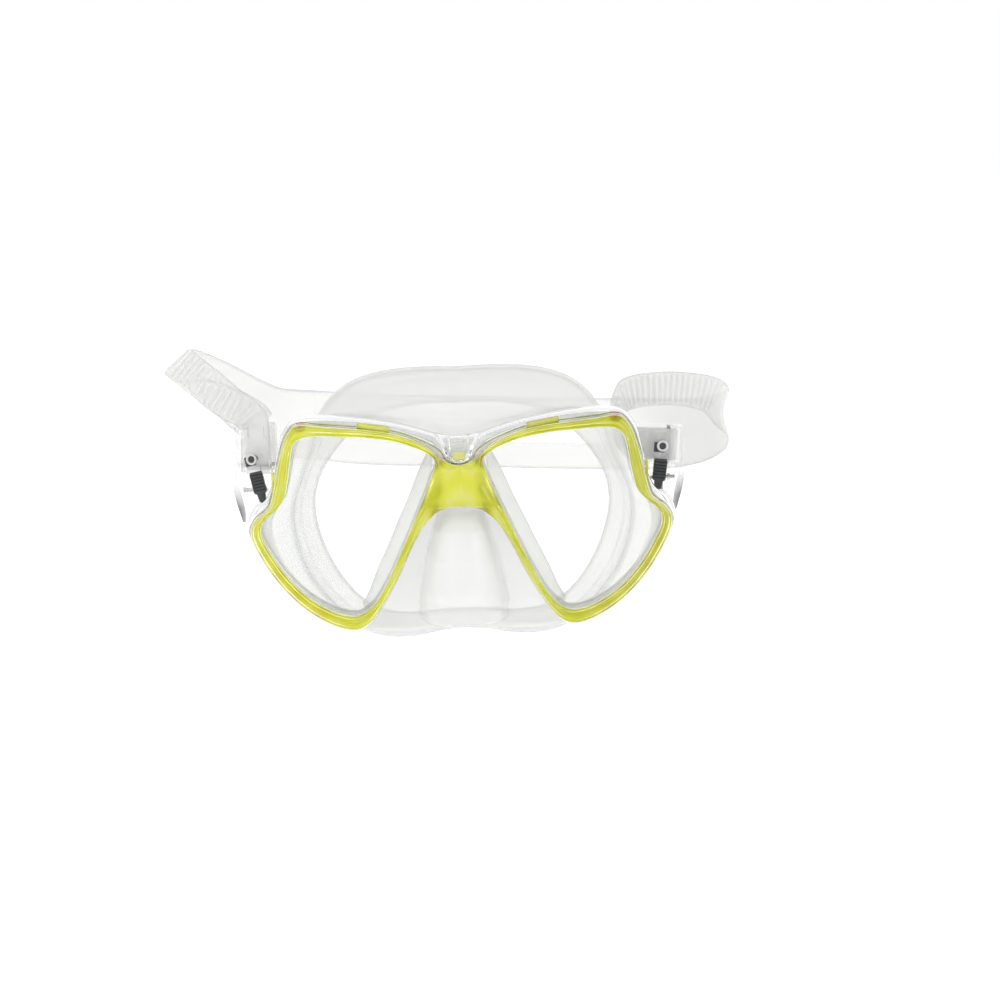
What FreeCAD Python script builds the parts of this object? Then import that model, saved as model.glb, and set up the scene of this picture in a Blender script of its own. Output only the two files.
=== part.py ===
import FreeCAD, Part
import math
import os
import Sketcher

# Two-lens diving mask with a silicone skirt, a two-part frame and a strap held by
# folding swivel buckles. Millimetres. +X is the wearer's left, +Y goes back through
# the head and +Z is up, so the lenses face -Y.

doc = FreeCAD.newDocument("SnorkelMask")
vector = FreeCAD.Vector

# ---------------------------------------------------------------- driving sizes
DIMENSIONS = [
    ("wrap_radius", 400),
    ("frame_front", -60),
    ("frame_joint", -53),
    ("rim_front", -57),
    ("frame_back", -45),
    ("lens_thickness", 3.5),
    ("lens_margin", 1.5),
    ("lens_yaw", 6),
    ("wall", 1.8),
    ("face_radius", 116),
    ("forehead", -22),
    ("hinge_out", 76.6),
    ("hinge_back", -24.5),
    ("rivet_height", 15.5),
    ("lug_radius", 2.8),
    ("hinge_pin_radius", 1.0),
    ("hinge_pin_length", 14.6),
    ("running", 0.05),
    ("rivet_radius", 1.2),
    ("rivet_head", 1.9),
    ("boss_radius", 4.1),
    ("latch_pin_radius", 0.7),
    ("latch_pin_length", 9.2),
    ("pad_width", 5.2),
    ("pad_long", 8.4),
    ("rib_pitch", 1.25),
    ("rib_count", 6),
    ("housing_half", 7.3),
    ("housing_top", 12.2),
    ("housing_bottom", 8),
    ("comb_slot", 2.2),
    ("roller_radius", 1.8),
    ("roller_length", 12.2),
    ("roller_pin_radius", 0.8),
    ("roller_pin_length", 14.6),
    ("strap_thick", 1.5),
    ("strap_narrow", 12),
    ("strap_wide", 29),
    ("strap_slot", 8),
]
sheet = doc.addObject("Spreadsheet::Sheet", "Dims")
size = {}
for row, (alias, value) in enumerate(DIMENSIONS, start=1):
    sheet.set("A%d" % row, alias)
    sheet.set("B%d" % row, str(value))
    sheet.setAlias("B%d" % row, alias)
    size[alias] = float(value)
doc.recompute()

parts = []


def bind(item, prop, words):
    """Ties one property to the sheet; every word that is an alias is looked up."""
    text = words
    for alias in sorted(size, key=len, reverse=True):
        text = text.replace("$" + alias, "Dims." + alias)
    item.setExpression(prop, text)


def keep(item, label, placement=None):
    """Makes one object a sub-part of the model, with the label that names its file."""
    item.Label = label
    if placement is not None:
        item.Placement = placement
    parts.append(item)
    return item


# ---------------------------------------------------------------- building blocks
def block(name, spans):
    """A box from three spans; each end is a number or words with sheet aliases."""
    item = doc.addObject("Part::Box", name)
    for prop, axis, (low, high) in zip(("Length", "Width", "Height"), "xyz", spans):
        bind(item, prop, "(%s) - (%s)" % (high, low))
        bind(item, "Placement.Base." + axis, "1 * (%s)" % low)
    return item


def rod(name, radius, length, base, direction):
    """A cylinder with its radius and length in words, starting at base."""
    item = doc.addObject("Part::Cylinder", name)
    turn = FreeCAD.Rotation(vector(0, 0, 1), vector(*direction))
    item.Placement = FreeCAD.Placement(vector(*base), turn)
    bind(item, "Radius", "1 * (%s)" % radius)
    bind(item, "Height", "1 * (%s)" % length)
    return item


def joined(name, items):
    item = doc.addObject("Part::MultiFuse", name)
    item.Shapes = items
    return item


def less(name, base, tools):
    cutter = tools[0]
    if len(tools) > 1:
        cutter = joined(name + "_cutters", tools)
    item = doc.addObject("Part::Cut", name)
    item.Base = base
    item.Tool = cutter
    return item


def origin_plane(body, role):
    return [plane for plane in body.Origin.OriginFeatures if plane.Role == role][0]


def padded_circle(name, radii, length):
    """A PartDesign body: concentric circles on its XY plane, padded both ways."""
    body = doc.addObject("PartDesign::Body", name)
    sketch = body.newObject("Sketcher::SketchObject", name + "_sketch")
    sketch.AttachmentSupport = [(origin_plane(body, "XY_Plane"), "")]
    sketch.MapMode = "FlatFace"
    for order, words in enumerate(radii):
        circle = Part.Circle(vector(0, 0, 0), vector(0, 0, 1), 3.0 - order)
        edge = sketch.addGeometry(circle, False)
        sketch.addConstraint(Sketcher.Constraint("Coincident", edge, 3, -1, 1))
        sketch.addConstraint(Sketcher.Constraint("Radius", edge, 3.0 - order))
        bind(sketch, "Constraints[%d]" % (sketch.ConstraintCount - 1), "1 * (%s)" % words)
    pad = body.newObject("PartDesign::Pad", name + "_pad")
    pad.Profile = sketch
    pad.Midplane = True
    bind(pad, "Length", "1 * (%s)" % length)
    body.Tip = pad
    return body


# ---------------------------------------------------------------- outlines (x, z)
# Each list is the wearer's left half, from the top down; the other half mirrors it.
LENS_OPENING = [
    (9.1, 14.6), (10.8, 17.8), (16, 20.6), (24, 23.2), (34, 24.8), (44, 25.4), (52, 25.8),
    (58, 25.2), (61.4, 22.8), (62.9, 17), (64, 10), (65.8, 2.6), (69.4, -2), (73.4, -5.4),
    (75.1, -9.4), (73.6, -14.6), (67, -25.3), (59, -33.9), (50, -39.6), (42, -41.9),
    (36.6, -40.2), (31, -34), (24.2, -21), (17.4, -6), (12.2, 5.8),
]
FRONT_HALF = [
    (0, 13.9), (3.6, 14.8), (8, 18.2), (14, 22.6), (23, 26.3), (34, 28.2), (45, 29.2),
    (53, 30), (58, 30.6), (62, 29.4), (65.4, 24), (68, 15), (69.9, 6.4), (72.2, -1),
    (77, -4.9), (79.4, -10.2), (77.2, -17.4), (70, -29), (61, -38.5), (51, -45), (42, -47.7),
    (36, -45.6), (30, -38.2), (24, -28), (18.3, -16.3), (13.4, -8.3), (8, -3.4), (3.4, -1.8),
    (0, -1.6),
]
RIM_HALF = [
    (0, 14.3), (3.6, 16.6), (5.8, 21.4), (8.6, 25.2), (14, 27.2), (24, 29.9), (36, 31.8),
    (48, 33), (57, 33), (62.6, 31.4), (66.4, 26), (69, 17), (70.8, 7.4), (73.6, 1.6),
    (78.4, -1.4), (80.8, -7.6), (79, -15.6), (72, -27.8), (62.6, -37.9), (52, -45.4),
    (42, -48.6), (35.6, -46.2), (29.6, -38.4), (23.7, -28.2), (18, -16.5), (13.1, -8.5),
    (7.8, -3.6), (3.3, -2), (0, -1.8),
]
BACK_HALF = [(0, 24.2), (5, 24.6), (9, 25.6)] + RIM_HALF[4:]
SKIRT_FRONT = [
    (0, 27.5), (14, 29), (28, 31.5), (42, 32.6), (52, 31.6), (58, 27.6), (62.4, 18), (64.6, 8),
    (69, -1), (72.2, -8), (71.4, -17), (65, -30), (55, -41), (43, -47.5), (32, -49.5),
    (20, -49.5), (9, -49), (0, -48.8),
]
SKIRT_MIDDLE = [
    (0, 46.6), (14, 46.8), (28, 45.6), (40, 42), (49, 35.4), (54.8, 26), (58.4, 14.6),
    (62.6, 4), (66.2, -7), (66, -19), (61, -33.5), (52, -44.5), (42, -52.5), (32, -56),
    (20, -56), (9, -53.8), (0, -53),
]
SKIRT_BACK = [
    (0, 51.6), (15, 51.4), (30, 49.8), (43, 45.2), (53, 36.6), (60, 24.6), (64.6, 10.6),
    (67.4, -3), (67.6, -16), (62, -31), (53, -43.4), (43, -52), (33, -56.8), (20, -58.4),
    (9, -57.4), (0, -56.6),
]
FEATHER_EDGE = [
    (0, 33.6), (14, 33.4), (28, 30.8), (39, 25), (48, 16), (55, 5), (57.4, -6), (55.4, -18),
    (49.6, -30.6), (41, -41), (31, -46.4), (20, -47.4), (9, -46.4), (0, -46),
]


def both_halves(half):
    """The whole outline of a half that starts and ends on the middle plane."""
    return half + [(-x, z) for x, z in reversed(half[1:-1])]


def inset(points, distance):
    """Moves every point of a clockwise outline inwards by one distance."""
    moved = []
    for order, (x, z) in enumerate(points):
        before = points[order - 1]
        after = points[(order + 1) % len(points)]
        along = vector(after[0] - before[0], after[1] - before[1], 0).normalize()
        moved.append((x + along.y * distance, z - along.x * distance))
    return moved


def loop(points, y=0.0):
    """A smooth closed wire through points of the XZ plane at one depth."""
    curve = Part.BSplineCurve()
    curve.interpolate([vector(x, y, z) for x, z in points], PeriodicFlag=True)
    knots = curve.getKnots()
    edges = []
    for start, end in zip(knots, knots[1:]):
        piece = curve.copy()
        piece.segment(start, end)
        edges.append(piece.toShape())
    return Part.Wire(edges)


def face_of(points):
    return Part.Face(loop(points))


def grown(face, amount):
    """The face made larger all round, with plain spline edges."""
    return face.makeOffset2D(amount).toNurbs().Faces[0]


def through(face, front=-90.0, back=30.0):
    """The prism that a flat face sweeps from one depth to another."""
    solid = face.extrude(vector(0, back - front, 0))
    solid.translate(vector(0, front, 0))
    return solid


def wrapped(front, back=None):
    """Everything behind one wrapped surface, or the slab between two of them."""
    radius = size["wrap_radius"]
    depth = size["frame_front"] + radius
    base = vector(0, depth, -100)
    solid = Part.makeCylinder(depth - front, 200, base)
    if back is not None:
        solid = solid.cut(Part.makeCylinder(depth - back, 200, base))
    near = Part.makeBox(200, 60, 200, vector(-100, -80, -100))
    if back is not None:
        return solid.common(near)
    return solid


def rounded(shape, radius, front_limit, length):
    """Rounds the long edges that lie in front of one wrapped surface."""
    radius_of_wrap = size["wrap_radius"]
    depth = size["frame_front"] + radius_of_wrap
    edges = []
    for edge in shape.Edges:
        box = edge.BoundBox
        middle = edge.valueAt((edge.FirstParameter + edge.LastParameter) / 2)
        reach = math.hypot(middle.x, middle.y - depth)
        if reach > depth - front_limit and edge.Length > length and box.YLength < 9:
            edges.append(edge)
    for trial in (radius, radius * 0.6, radius * 0.35):
        try:
            result = shape.makeFillet(trial, edges)
            if result.isValid() and abs(result.Volume - shape.Volume) < shape.Volume * 0.1:
                return result
        except Part.OCCError:
            pass
    print("left sharp:", len(edges), "edges")
    return shape


def mirrored(shape):
    return shape.mirror(vector(0, 0, 0), vector(1, 0, 0))


def feature(label, shape):
    """A sub-part whose curved shape is set directly."""
    solids = shape.Solids
    if len(solids) == 1:
        shape = solids[0]
    item = doc.addObject("Part::Feature", label)
    item.Shape = shape
    return keep(item, label)


# ---------------------------------------------------------------- lenses
opening = face_of(LENS_OPENING)
lens_middle = 42.0
lens_depth = -50.6


def lens_slab(front, thickness):
    """A flat plate, yawed to follow the wrap of the frame on the wearer's left."""
    plate = Part.makeBox(120, thickness, 140, vector(-60, front, -70))
    plate.rotate(vector(0, 0, 0), vector(0, 0, 1), size["lens_yaw"])
    plate.translate(vector(lens_middle, lens_depth, 0))
    return plate


lens_prism = through(grown(opening, size["lens_margin"]))
lens = lens_prism.common(lens_slab(0, size["lens_thickness"]))
feature("left_lens", lens)
feature("right_lens", mirrored(lens))

# ---------------------------------------------------------------- front frame
front_face = face_of(both_halves(FRONT_HALF))
front_slab = wrapped(size["frame_front"], size["frame_joint"])
openings = [through(opening), mirrored(through(opening))]
front_frame = through(front_face).common(front_slab).cut(openings)
front_frame = rounded(front_frame, 1.1, size["frame_front"] + 0.5, 2.0)
pocket_tool = through(grown(opening, size["lens_margin"] + 0.12))
lens_pocket = pocket_tool.common(lens_slab(-0.12, 30))
front_frame = front_frame.cut([lens_pocket, mirrored(lens_pocket)])

# Snap tabs of the front frame that show in the clear frame round it.
TABS = [
    ((25.5, 37.5), (26.5, 30.2)),
    ((66.5, 71.2), (3.5, 9.5)),
    ((-3.3, 3.3), (12, 23)),
]
tab_solids = []
tab_rooms = []
for (low, high), (bottom, top) in TABS:
    for tool, spread in ((tab_solids, 0.0), (tab_rooms, 0.12)):
        tab = Part.makeBox(
            high - low + 2 * spread,
            40,
            top - bottom + 2 * spread,
            vector(low - spread, -75, bottom - spread),
        )
        tab = tab.common(wrapped(-55.6 - spread, size["frame_joint"] + spread))
        tool.append(tab)
        if low > 0:
            tool.append(mirrored(tab))
front_frame = front_frame.fuse(tab_solids)
front_frame = front_frame.cut([lens_pocket, mirrored(lens_pocket)])

# Grooves that break the bridge and the inner legs into flat facets.
for sign in (1, -1):
    for start, end in (((6.4, 11.5), (6.4, 0.5)), ((7, 2), (12.5, -5.5)), ((15, -9), (22, -24))):
        run = vector((end[0] - start[0]) * sign, 0, end[1] - start[1])
        groove = Part.makeBox(0.7, 2, run.Length, vector(-0.35, -1, 0))
        groove.rotate(vector(0, 0, 0), vector(0, 1, 0), math.degrees(math.atan2(run.x, run.z)))
        sag = start[0] * start[0] / (2 * size["wrap_radius"])
        groove.translate(vector(start[0] * sign, size["frame_front"] - 0.5 + sag, start[1]))
        front_frame = front_frame.cut(groove)
feature("front_frame", front_frame)

# ---------------------------------------------------------------- clear main frame
rim_slab = wrapped(size["rim_front"], size["frame_joint"] + 0.1)
back_slab = wrapped(size["frame_joint"] + 0.1, size["frame_back"])
rim = through(face_of(both_halves(RIM_HALF))).common(rim_slab)
rim = rim.cut(through(grown(front_face, 0.12)))
plate = through(face_of(both_halves(BACK_HALF))).common(back_slab)
seat = through(grown(opening, size["lens_margin"] + 1.6))
plate = plate.cut([seat, mirrored(seat)])
main_frame = plate.fuse(rim)
main_frame = main_frame.cut(tab_rooms)

lug_low = -7.2
lug_high = -3.2
for sign in (1, -1):
    eye = Part.makeCylinder(
        size["lug_radius"],
        lug_high - lug_low,
        vector(sign * size["hinge_out"], size["hinge_back"], lug_low),
    )
    neck_room = -38.9
    neck_middle = sign * (size["hinge_out"] + 1.85)
    neck = Part.makeBox(
        1.9,
        size["hinge_back"] - neck_room,
        3.2,
        vector(neck_middle - 0.95, neck_room, lug_high - 3.2),
    )
    main_frame = main_frame.fuse([eye, neck])
bores = []
for sign in (1, -1):
    bores.append(
        Part.makeCylinder(
            size["hinge_pin_radius"] + size["running"],
            20,
            vector(sign * size["hinge_out"], size["hinge_back"], -15),
        )
    )
main_frame = main_frame.cut(bores)
feature("main_frame", main_frame)

# ---------------------------------------------------------------- silicone skirt
def skirt_hull(distance):
    """The skirt's outer body, or with a distance the hollow that far inside it."""
    wires = []
    for outline, depth in ((SKIRT_FRONT, -52), (SKIRT_MIDDLE, -24), (SKIRT_BACK, 8)):
        points = both_halves(outline)
        if distance:
            points = inset(points, distance)
        wires.append(loop(points, depth))
    return Part.makeLoft(wires, True, False)


sheet_front = size["frame_back"] + 0.1
head = Part.makeCylinder(
    size["face_radius"],
    200,
    vector(0, size["forehead"] + size["face_radius"], -100),
)
skirt = skirt_hull(0).common(wrapped(sheet_front))
skirt = skirt.cut(skirt_hull(size["wall"]).common(wrapped(sheet_front + size["wall"])))
skirt = skirt.cut(head)

# Inner sealing flap, turned in along the face.
flap = Part.makeCylinder(
    size["face_radius"] + 1.4,
    200,
    vector(0, size["forehead"] + size["face_radius"], -100),
).cut(head)
flap = flap.common(Part.makeBox(200, 60, 200, vector(-100, -40, -100)))
flap = flap.common(skirt_hull(0.4))
flap = flap.cut(through(face_of(both_halves(FEATHER_EDGE))))
skirt = skirt.fuse(flap)

# Collars that hold the lenses.
collar_outer = through(grown(opening, size["lens_margin"] + 1.5))
collar_inner = through(grown(opening, size["lens_margin"] + 0.02))
collar = collar_outer.cut(collar_inner).common(wrapped(size["frame_joint"] + 0.2, -43.5))
collar = collar.cut(lens_slab(-30, 30))
lip = collar_outer.cut(through(opening)).common(lens_slab(size["lens_thickness"] + 0.05, 20))
lip = lip.common(wrapped(size["frame_joint"], sheet_front + size["wall"]))
window = through(opening, -60, -37)
skirt = skirt.cut([window, mirrored(window)])
skirt = skirt.fuse([collar, mirrored(collar), lip, mirrored(lip)])

# Nose pocket: half-ellipse sections, stacked from the bridge down.
NOSE = [
    (-3.2, 6.4, 9.0),
    (-8, 10.2, 16.0),
    (-18, 13.6, 20.5),
    (-30, 16.6, 23.0),
    (-40, 17.8, 23.5),
    (-45.6, 16.6, 21.5),
    (-48.6, 12.6, 16.5),
]


def nose_body(thin):
    wires = []
    for order, (height, half, depth) in enumerate(NOSE):
        level = height
        if thin and order == 0:
            level = height - thin
        if thin and order == len(NOSE) - 1:
            level = height + thin
        wide = half - thin
        deep = depth - thin
        back = vector(0, -42.5, level)
        arc = Part.Arc(
            vector(-wide, back.y, level),
            vector(0, back.y - deep, level),
            vector(wide, back.y, level),
        )
        if deep > wide:
            oval = Part.Ellipse(vector(0, back.y - deep, level), vector(wide, back.y, level), back)
            arc = Part.ArcOfEllipse(oval, -math.pi / 2, math.pi / 2)
        ends = [arc.toShape().firstVertex().Point, arc.toShape().lastVertex().Point]
        rear = vector(0, 4.0, 0)
        closing = Part.makePolygon([ends[1], ends[1] + rear, ends[0] + rear, ends[0]])
        wires.append(Part.Wire([arc.toShape()] + closing.Edges))
    return Part.makeLoft(wires, True, False)


skirt = skirt.fuse(nose_body(0))
skirt = skirt.cut(nose_body(size["wall"]))
room_behind = skirt_hull(size["wall"]).common(wrapped(sheet_front + size["wall"]))
room_behind = room_behind.common(Part.makeBox(60, 12, 46, vector(-30, -43.2, -47)))
skirt = skirt.cut(room_behind)
feature("skirt", skirt)
doc.recompute()

# ---------------------------------------------------------------- straps
def ribbon(stations, thick=size["strap_thick"]):
    """A flat strap through stations of centre, across, outward normal and width."""
    rings = []
    for centre, across, normal, width in stations:
        middle = vector(*centre)
        side = vector(*across).normalize() * (width / 2)
        out = vector(*normal)
        out = (out - side * (out.dot(side) / side.dot(side))).normalize() * (thick / 2)
        rings.append([middle - side - out, middle + side - out, middle + side + out,
                      middle - side + out])
    faces = []
    for end in (rings[0], rings[-1]):
        faces.append(Part.Face(Part.makePolygon(end + end[:1])))
    for ring, following in zip(rings, rings[1:]):
        for near in range(4):
            far = (near + 1) % 4
            for corners in ((ring[near], ring[far], following[far]),
                            (ring[near], following[far], following[near])):
                faces.append(Part.Face(Part.makePolygon(list(corners) + [corners[0]])))
    strap = Part.Solid(Part.Shell(faces))
    if strap.Volume < 0:
        strap.reverse()
    return strap


wide = size["strap_wide"]
narrow = size["strap_narrow"]

# The back of the head: centre height and the split down the middle.
BAND = [(-60, 38.5, 20), (-40, 41.5, 18), (-15, 43.4, 15.5), (15, 43.4, 14), (40, 41.8, 12.8),
        (60, 38.8, 12.3)]
SPLIT = [(-46, 40.6, 18.6), (-40, 41.5, 18), (-15, 43.4, 15.5), (15, 43.4, 14),
         (40, 41.8, 12.8), (70, 36.4, 12)]
upright = vector(0, 0, 1)
backward = vector(0, 1, 0)
headband = ribbon([(point, upright, backward, wide - 1 + (point[0] > -50)) for point in BAND])
split_tool = ribbon([(point, upright, backward, size["strap_slot"]) for point in SPLIT], 6)
headband = headband.cut(split_tool)
feature("strap_headband", headband)

RIGHT_BEND = [
    ((-79.5, -20, 31.2), (0.93, 0, 0.3), (-0.3, -1, 0.2), 12.6),
    ((-87.5, -14.5, 34.6), (0.72, 0, 0.69), (-0.4, -1, 0.3), 13.4),
    ((-97.5, -6, 41.8), (0.7, 0, 0.71), (-0.6, -1, 0.3), 14),
    ((-105.5, 1, 47.4), (0.75, 0, 0.66), (-0.7, -0.7, 0.4), 14),
    ((-109.6, 6.5, 50.1), (0.77, 0, 0.64), (-0.75, 0.1, 0.6), 14.4),
    ((-107.4, 12.4, 48.4), (0.76, 0, 0.65), (-0.2, 0.95, 0.1), 15.2),
    ((-97.5, 19.4, 41), (0.62, 0, 0.78), (-0.5, 1, 0), 18.5),
    ((-84, 27.4, 29.4), (0.3, 0, 0.95), (-0.5, 1, 0), 23.5),
    ((-74, 33, 23.4), (0.08, 0, 1), (-0.4, 1, 0), 27.2),
    ((-60.1, 38.5, 20), (0, 0, 1), (-0.2, 1, 0), 28),
]
LEFT_BEND = [
    ((62.4, -19.4, 19.6), (0.1, 0.1, 1), (1, 0.6, 0), 12.2),
    ((60.2, -13, 27), (0, -0.2, 1), (1, -0.3, 0), 12.6),
    ((65.5, -5.6, 32.8), (0, 0, 1), (0.4, -1, 0), 13),
    ((78.7, 2, 33.8), (0.03, 0, 1), (0.5, -1, 0), 13.2),
    ((91.2, 8.5, 32.2), (0.1, 0, 1), (0.6, -1, 0), 13.6),
    ((100.4, 14.5, 28.8), (0.15, 0, 1), (0.9, -0.7, 0), 15),
    ((104.6, 21, 22.8), (0.1, 0, 1), (1, 0.3, 0), 18.4),
    ((102.4, 26.4, 17.6), (0.05, 0, 1), (0.6, 1, 0), 22.4),
    ((95.4, 30.4, 13.8), (0, 0, 1), (0.4, 1, 0), 26),
    ((84, 34.2, 12.2), (0, 0, 1), (0.3, 1, 0), 28.4),
    ((72, 36.8, 12.1), (0, 0, 1), (0.25, 1, 0), 29),
    ((60.1, 38.8, 12.3), (0, 0, 1), (0.15, 1, 0), 29),
]

# ---------------------------------------------------------------- folding buckles
# Local frame of a buckle: origin at the rivet, X across, Z up, -Y to the front.
SIDES = [
    ("left", 1, 4.0, -85.0, LEFT_BEND),
    ("right", -1, -16.0, 0.0, RIGHT_BEND),
]
LEFT_TONGUE = [((63.3, 16.7), 10.4)]
RIGHT_TONGUE = [((-81.6, 33.4), 12.4), ((-88.6, 37.6), 12.4), ((-96, 42), 10), ((-101, 44.4), 5)]

for side, sign, yaw, swivel, bend_path in SIDES:
    hinge = vector(sign * size["hinge_out"], size["hinge_back"], size["rivet_height"])
    arm_place = FreeCAD.Placement(hinge, FreeCAD.Rotation(vector(0, 0, 1), yaw))
    turn = FreeCAD.Placement(vector(0, 0, 0), FreeCAD.Rotation(vector(0, 1, 0), swivel))
    buckle_place = arm_place.multiply(turn)

    # Arm: ring round the rivet, two fork legs, a shelf and the hinge clevis.
    ring = rod(side + "_arm_ring", "$boss_radius", "1.5", (0, -7, 0), (0, -1, 0))
    legs = []
    for hand, (low, high) in (("a", (-4.6, -3.0)), ("b", (3.0, 4.6))):
        legs.append(block(side + "_arm_leg_" + hand, ((low, high), (-8.5, -7), (-14.3, 0))))
        legs.append(block(side + "_arm_cheek_" + hand, ((low, high), (-8.5, 2.6), (-14.3, -10.9))))
    shelf = block(side + "_arm_shelf", ((-4.6, 4.6), (-4, 2.6), (-14.3, -11.3)))
    upper = rod(side + "_arm_upper_ear", "$lug_radius", "7.2", (0, 0, -18.5), (0, 0, 1))
    lower = rod(side + "_arm_lower_ear", "$lug_radius", "2.3", (0, 0, -25.2), (0, 0, 1))
    web = block(side + "_arm_web", ((-2.4, 2.4), (3.1, 5.1), (-25.2, -11.3)))
    upper_tie = block(side + "_arm_upper_tie", ((-2.4, 2.4), (0, 5.1), (-18.5, -11.3)))
    lower_tie = block(side + "_arm_lower_tie", ((-2.4, 2.4), (0, 5.1), (-25.2, -22.9)))
    outer_side = (3.2, 5.6) if sign > 0 else (-5.6, -3.2)
    horn = block(side + "_arm_horn", (outer_side, (-4.6, 2.6), (-18, -10.9)))
    foot = block(side + "_arm_foot", (outer_side, (-2, 4.6), (-25.2, -23.2)))
    arm_solid = joined(
        side + "_arm_solid",
        [ring, shelf, upper, lower, web, upper_tie, lower_tie, horn, foot] + legs,
    )
    arm = less(side + "_arm_cut", arm_solid, [
        rod(side + "_arm_rivet_hole", "$rivet_radius + $running", "4", (0, -6, 0), (0, -1, 0)),
        rod(side + "_arm_pin_hole", "$hinge_pin_radius", "40", (0, 0, -30), (0, 0, 1)),
        rod(side + "_arm_latch_hole", "$latch_pin_radius", "20", (-10, -5.9, -12.2), (1, 0, 0)),
    ])
    keep(arm, side + "_arm", arm_place)

    pin = padded_circle(side + "_hinge_pin_body", ["$hinge_pin_radius"], "$hinge_pin_length")
    keep(pin, side + "_hinge_pin", arm_place.multiply(
        FreeCAD.Placement(vector(0, 0, -18.4), FreeCAD.Rotation())
    ))

    # Latch: ribbed pad between the fork legs, pivoting on its own pin.
    pad = block(side + "_latch_pad", (
        ("-$pad_width / 2", "$pad_width / 2"), (-9.4, -8), ("-4.9 - $pad_long", -4.9),
    ))
    neck = block(side + "_latch_neck", ((-1.8, 1.8), (-8.2, -5.9), (-13.4, -11)))
    eye = rod(side + "_latch_eye", "1.3", "3.6", (-1.8, -5.9, -12.2), (1, 0, 0))
    leg = block(side + "_latch_leg", ((-1.6, 1.6), (-8.9, -8.2), (-14.9, -12.8)))
    first_rib = rod(side + "_latch_rib", "0.42", "$pad_width - 0.6", (-2.3, -9.4, -6), (1, 0, 0))
    ribs = [first_rib]
    for count in range(1, int(size["rib_count"])):
        drop = -6 - count * size["rib_pitch"]
        ribs.append(
            rod("%s_latch_rib_%d" % (side, count), "0.42", "$pad_width - 0.6",
                (-2.3, -9.4, drop), (1, 0, 0))
        )
    latch_solid = joined(side + "_latch_solid", [pad, neck, eye, leg] + ribs)
    latch = less(side + "_latch_cut", latch_solid, [
        rod(side + "_latch_bore", "$latch_pin_radius + $running", "20",
            (-10, -5.9, -12.2), (1, 0, 0)),
    ])
    keep(latch, side + "_latch", arm_place)

    along_x = FreeCAD.Rotation(vector(0, 0, 1), vector(1, 0, 0))
    latch_pin = padded_circle(side + "_latch_pin_body", ["$latch_pin_radius"], "$latch_pin_length")
    keep(latch_pin, side + "_latch_pin", arm_place.multiply(
        FreeCAD.Placement(vector(0, -5.9, -12.2), along_x)
    ))
    spring = padded_circle(
        side + "_latch_spring_body", ["1.25", "$latch_pin_radius + $running"], "0.9"
    )
    keep(spring, side + "_latch_spring", arm_place.multiply(
        FreeCAD.Placement(vector(2.4, -5.9, -12.2), along_x)
    ))

    # Housing: front plate with a comb, two side walls and a floor.
    half = "$housing_half"
    front_plate = block(side + "_housing_plate", (
        ("-" + half, half), (-6.8, -5.4), ("-$housing_bottom", "$housing_top"),
    ))
    walls = []
    for hand, span in (("a", ("-" + half, "1 - " + half)), ("b", (half + " - 1", half))):
        walls.append(block(side + "_housing_wall_" + hand, (
            span, (-5.4, 2.6), ("-$housing_bottom", "$housing_top"),
        )))
    floor = block(side + "_housing_floor", (
        ("-" + half, half), (-5.4, 2.6), ("-$housing_bottom", "1 - $housing_bottom"),
    ))
    cutters = []
    for hand, low in (("a", -4.3), ("b", 2.1)):
        cutters.append(block(side + "_comb_slot_" + hand, (
            (low, "%s + $comb_slot" % low), (-8, -5), ("$housing_top - 4.6", "$housing_top + 2"),
        )))
    for hand, facing in (("a", 1), ("b", -1)):
        corner = doc.addObject("Part::Box", side + "_housing_corner_" + hand)
        corner.Length = 6
        corner.Width = 16
        corner.Height = 4
        slant = FreeCAD.Rotation(vector(0, 1, 0), facing * -45)
        middle = FreeCAD.Placement(vector(facing * 8.2, -10, -8.5), slant)
        corner.Placement = middle.multiply(FreeCAD.Placement(vector(-3, 0, -3), FreeCAD.Rotation()))
        cutters.append(corner)
    cutters.append(rod(side + "_housing_rivet_hole", "$rivet_radius", "3", (0, -5, 0), (0, -1, 0)))
    cutters.append(
        rod(side + "_housing_roller_hole", "$roller_pin_radius", "30", (-15, -1.4, -3), (1, 0, 0))
    )
    housing_solid = joined(side + "_housing_solid", [front_plate, floor] + walls)
    housing = less(side + "_housing_cut", housing_solid, cutters)
    keep(housing, side + "_housing", buckle_place)

    along_front = FreeCAD.Rotation(vector(0, 0, 1), vector(0, -1, 0))
    head_disc = rod(side + "_rivet_disc", "$rivet_head", "0.75", (0, -8.55, 0), (0, -1, 0))
    shank = rod(side + "_rivet_shank", "$rivet_radius", "3.4", (0, -5.4, 0), (0, -1, 0))
    rivet = joined(side + "_rivet_body", [head_disc, shank])
    keep(rivet, side + "_rivet", buckle_place)

    roller = padded_circle(
        side + "_roller_body",
        ["$roller_radius", "$roller_pin_radius + $running"],
        "$roller_length",
    )
    keep(roller, side + "_roller", buckle_place.multiply(
        FreeCAD.Placement(vector(0, -1.4, -3), along_x)
    ))
    roller_pin = padded_circle(
        side + "_roller_pin_body", ["$roller_pin_radius"], "$roller_pin_length"
    )
    keep(roller_pin, side + "_roller_pin", buckle_place.multiply(
        FreeCAD.Placement(vector(0, -1.4, -3), along_x)
    ))

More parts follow.
